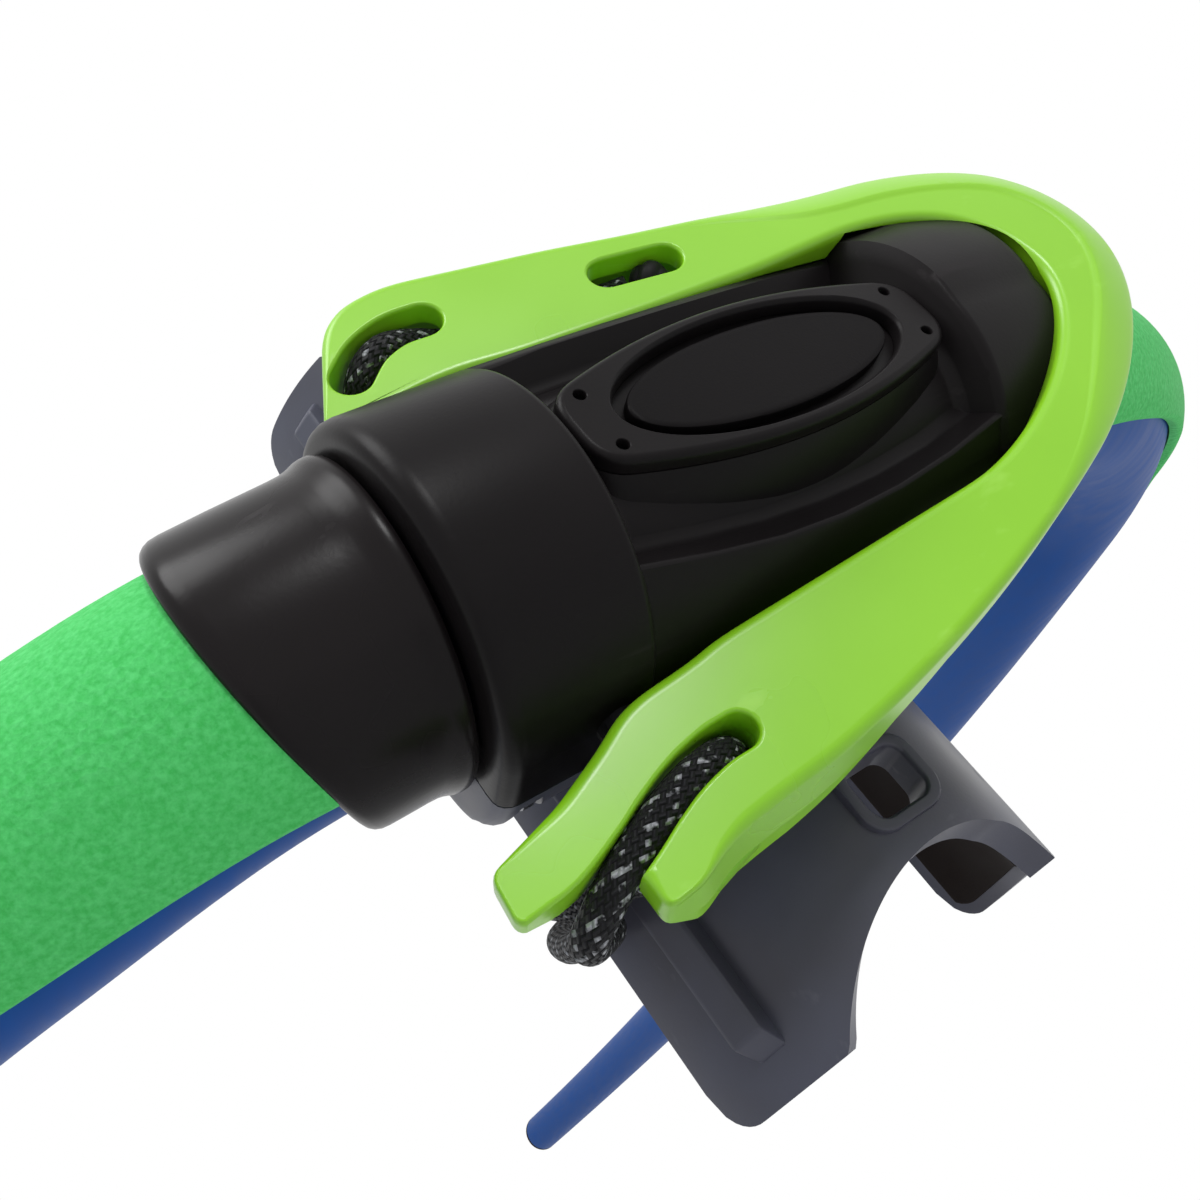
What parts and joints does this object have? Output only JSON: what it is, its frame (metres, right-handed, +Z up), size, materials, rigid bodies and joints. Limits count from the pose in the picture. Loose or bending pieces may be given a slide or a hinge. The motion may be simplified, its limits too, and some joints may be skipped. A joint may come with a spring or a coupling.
{
  "type": "windsurf boom front end",
  "caption": "Curved windsurf boom front with foam-gripped arms, a head that seats on the mast, and a clamp lever that draws a rope tight around the mast.",
  "frame": {"origin": "on the mast axis, level with the boom tube's axis at the middle of the head", "axes": "+Z up along the mast, +Y back along the boom, +X to starboard"},
  "size_m": [0.4872, 0.964, 0.118],
  "materials": {
    "blue_aluminium": "satin blue anodised",
    "plain_aluminium": "mill finish",
    "green_foam": "fine grained closed cell foam",
    "lime_plastic": "glossy moulded",
    "black_plastic": "satin moulded",
    "grey_plastic": "satin moulded",
    "soft_black": "smooth satin",
    "pad_rubber": "matt",
    "stainless": "turned",
    "black_steel": "blackened",
    "black_rope": "braided"
  },
  "bodies": {
    "head": {"port_arm_tube": "blue_aluminium", "starboard_arm_tube": "blue_aluminium", "joiner_sleeve": "plain_aluminium", "port_grip": "green_foam", "starboard_grip": "green_foam", "port_end_plug": "soft_black", "starboard_end_plug": "soft_black", "port_cup": "soft_black", "starboard_cup": "soft_black", "front_shell": "black_plastic", "face_plate": "black_plastic", "oval_badge": "soft_black", "plate_screw_1": "black_steel", "plate_screw_2": "black_steel", "plate_screw_3": "black_steel", "plate_screw_4": "black_steel", "mast_cradle": "grey_plastic", "port_mast_pad": "pad_rubber", "starboard_mast_pad": "pad_rubber", "port_lower_body_screw": "stainless", "port_upper_body_screw": "stainless", "starboard_lower_body_screw": "stainless", "starboard_upper_body_screw": "stainless", "upper_pivot_pin": "stainless", "lower_pivot_pin": "stainless", "clamp_rope": "black_rope", "anchor_rope_knot": "black_rope"},
    "lever": {"clamp_lever": "lime_plastic", "upper_rope_knot": "black_rope"}
  },
  "joints": [
    {"name": "lever_pivot", "type": "hinge", "parent": "head", "child": "lever", "pos_m": [-0.031, -0.0433, 0], "axis": [0, 0, -1], "range_deg": [0, 80], "deforming": ["clamp_rope"]}
  ]
}
